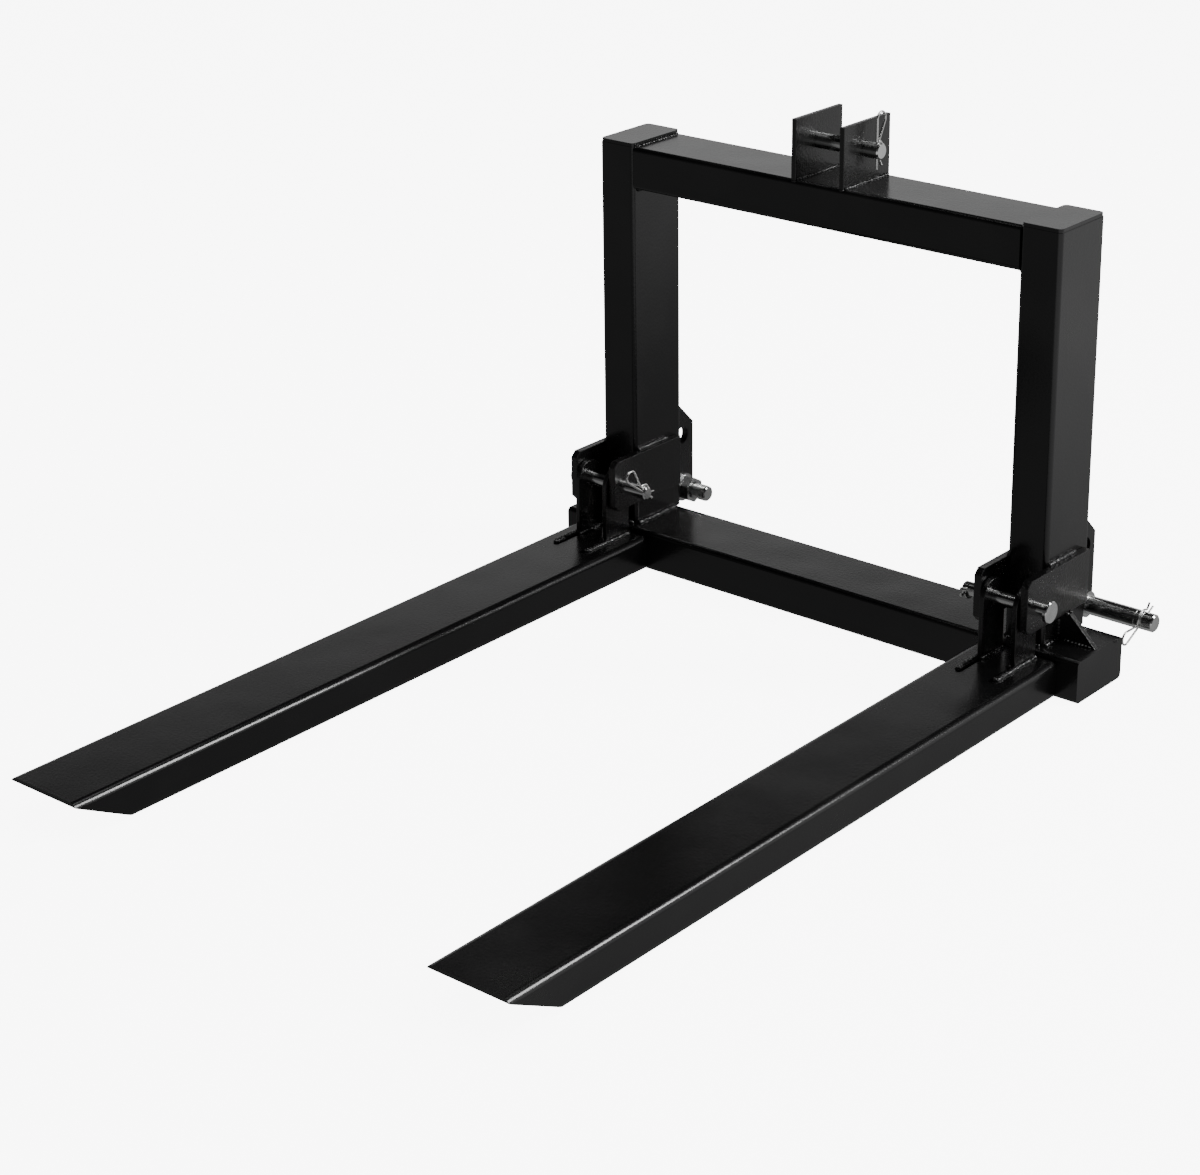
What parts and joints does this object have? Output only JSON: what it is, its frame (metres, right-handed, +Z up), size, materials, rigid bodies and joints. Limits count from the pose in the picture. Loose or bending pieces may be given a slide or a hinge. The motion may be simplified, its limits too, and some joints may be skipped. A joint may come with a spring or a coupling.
{
  "type": "pallet fork attachment",
  "caption": "Three-point hitch pallet fork frame of square tube with two pin-hung forks that fold up, lower hitch pins, a top-link clevis and spring clips.",
  "frame": {"origin": "on the underside of the lower crossbar, midway between the posts and below their front faces", "axes": "+X to the right seen from the load side, +Y to the rear (tractor side), +Z up; the forks reach towards -Y"},
  "size_m": [0.785, 1.0513, 0.6105],
  "materials": {
    "black_paint": "gloss black paint over weld beads",
    "zinc_pin": "bright zinc plate on turned steel",
    "zinc_hardware": "zinc plate on pressed and machined steel",
    "clip_wire": "bright drawn spring wire"
  },
  "bodies": {
    "frame": {"lower_crossbar": "black_paint", "lower_crossbar_left_end": "black_paint", "lower_crossbar_right_end": "black_paint", "top_crossbar": "black_paint", "left_link_plate": "black_paint", "right_link_plate": "black_paint", "left_post": "black_paint", "left_post_cap": "black_paint", "left_outer_ear": "black_paint", "left_inner_ear": "black_paint", "left_gusset": "black_paint", "left_hitch_lug": "black_paint", "left_hitch_pin": "zinc_pin", "left_hitch_washer": "zinc_hardware", "left_hitch_nut": "zinc_hardware", "right_post": "black_paint", "right_post_cap": "black_paint", "right_outer_ear": "black_paint", "right_inner_ear": "black_paint", "right_gusset": "black_paint", "right_hitch_lug": "black_paint", "right_hitch_pin": "zinc_pin", "right_hitch_washer": "zinc_hardware", "right_hitch_nut": "zinc_hardware"},
    "left_fork": {"left_fork_tube": "black_paint", "left_fork_heel": "black_paint", "left_fork_tip": "black_paint", "left_fork_outer_upstand": "black_paint", "left_fork_inner_upstand": "black_paint"},
    "right_fork": {"right_fork_tube": "black_paint", "right_fork_heel": "black_paint", "right_fork_tip": "black_paint", "right_fork_outer_upstand": "black_paint", "right_fork_inner_upstand": "black_paint"},
    "left_fork_pin": {"left_fork_pin": "zinc_pin"},
    "right_fork_pin": {"right_fork_pin": "zinc_pin"},
    "top_link_pin": {"top_link_pin": "zinc_pin"},
    "left_fork_clip": {"left_fork_clip": "clip_wire"},
    "right_fork_clip": {"right_fork_clip": "clip_wire"},
    "top_link_clip": {"top_link_clip": "clip_wire"},
    "left_hitch_clip": {"left_hitch_clip": "clip_wire"},
    "right_hitch_clip": {"right_hitch_clip": "clip_wire"}
  },
  "joints": [
    {"name": "left_fork_fold", "type": "hinge", "parent": "frame", "child": "left_fork", "pos_m": [-0.2926, -0.034, 0.1135], "axis": [-1, 0, 0], "range_deg": [0, 104]},
    {"name": "right_fork_fold", "type": "hinge", "parent": "frame", "child": "right_fork", "pos_m": [0.2926, -0.034, 0.1135], "axis": [-1, 0, 0], "range_deg": [0, 104]},
    {"name": "left_fork_pin_slide", "type": "slide", "parent": "frame", "child": "left_fork_pin", "axis": [-1, 0, 0], "range_m": [-0.0004, 0.0285]},
    {"name": "right_fork_pin_slide", "type": "slide", "parent": "frame", "child": "right_fork_pin", "axis": [1, 0, 0], "range_m": [-0.0155, 0.0132]},
    {"name": "top_link_pin_slide", "type": "slide", "parent": "frame", "child": "top_link_pin", "axis": [1, 0, 0], "range_m": [-0.011, 0.0015]},
    {"name": "left_fork_clip_pull", "type": "slide", "parent": "left_fork_pin", "child": "left_fork_clip", "axis": [0, -0.809, 0.5878], "range_m": [0, 0.03], "deforming": ["left_fork_clip"]},
    {"name": "right_fork_clip_pull", "type": "slide", "parent": "right_fork_pin", "child": "right_fork_clip", "axis": [0, 0.9397, -0.342], "range_m": [0, 0.03], "deforming": ["right_fork_clip"]},
    {"name": "top_link_clip_pull", "type": "slide", "parent": "top_link_pin", "child": "top_link_clip", "axis": [0, 0, 1], "range_m": [0, 0.036], "deforming": ["top_link_clip"]},
    {"name": "left_hitch_clip_pull", "type": "slide", "parent": "frame", "child": "left_hitch_clip", "axis": [0, -0.8988, -0.4384], "range_m": [0, 0.04], "deforming": ["left_hitch_clip"]},
    {"name": "right_hitch_clip_pull", "type": "slide", "parent": "frame", "child": "right_hitch_clip", "axis": [0, -0.8988, -0.4384], "range_m": [0, 0.04], "deforming": ["right_hitch_clip"]}
  ]
}
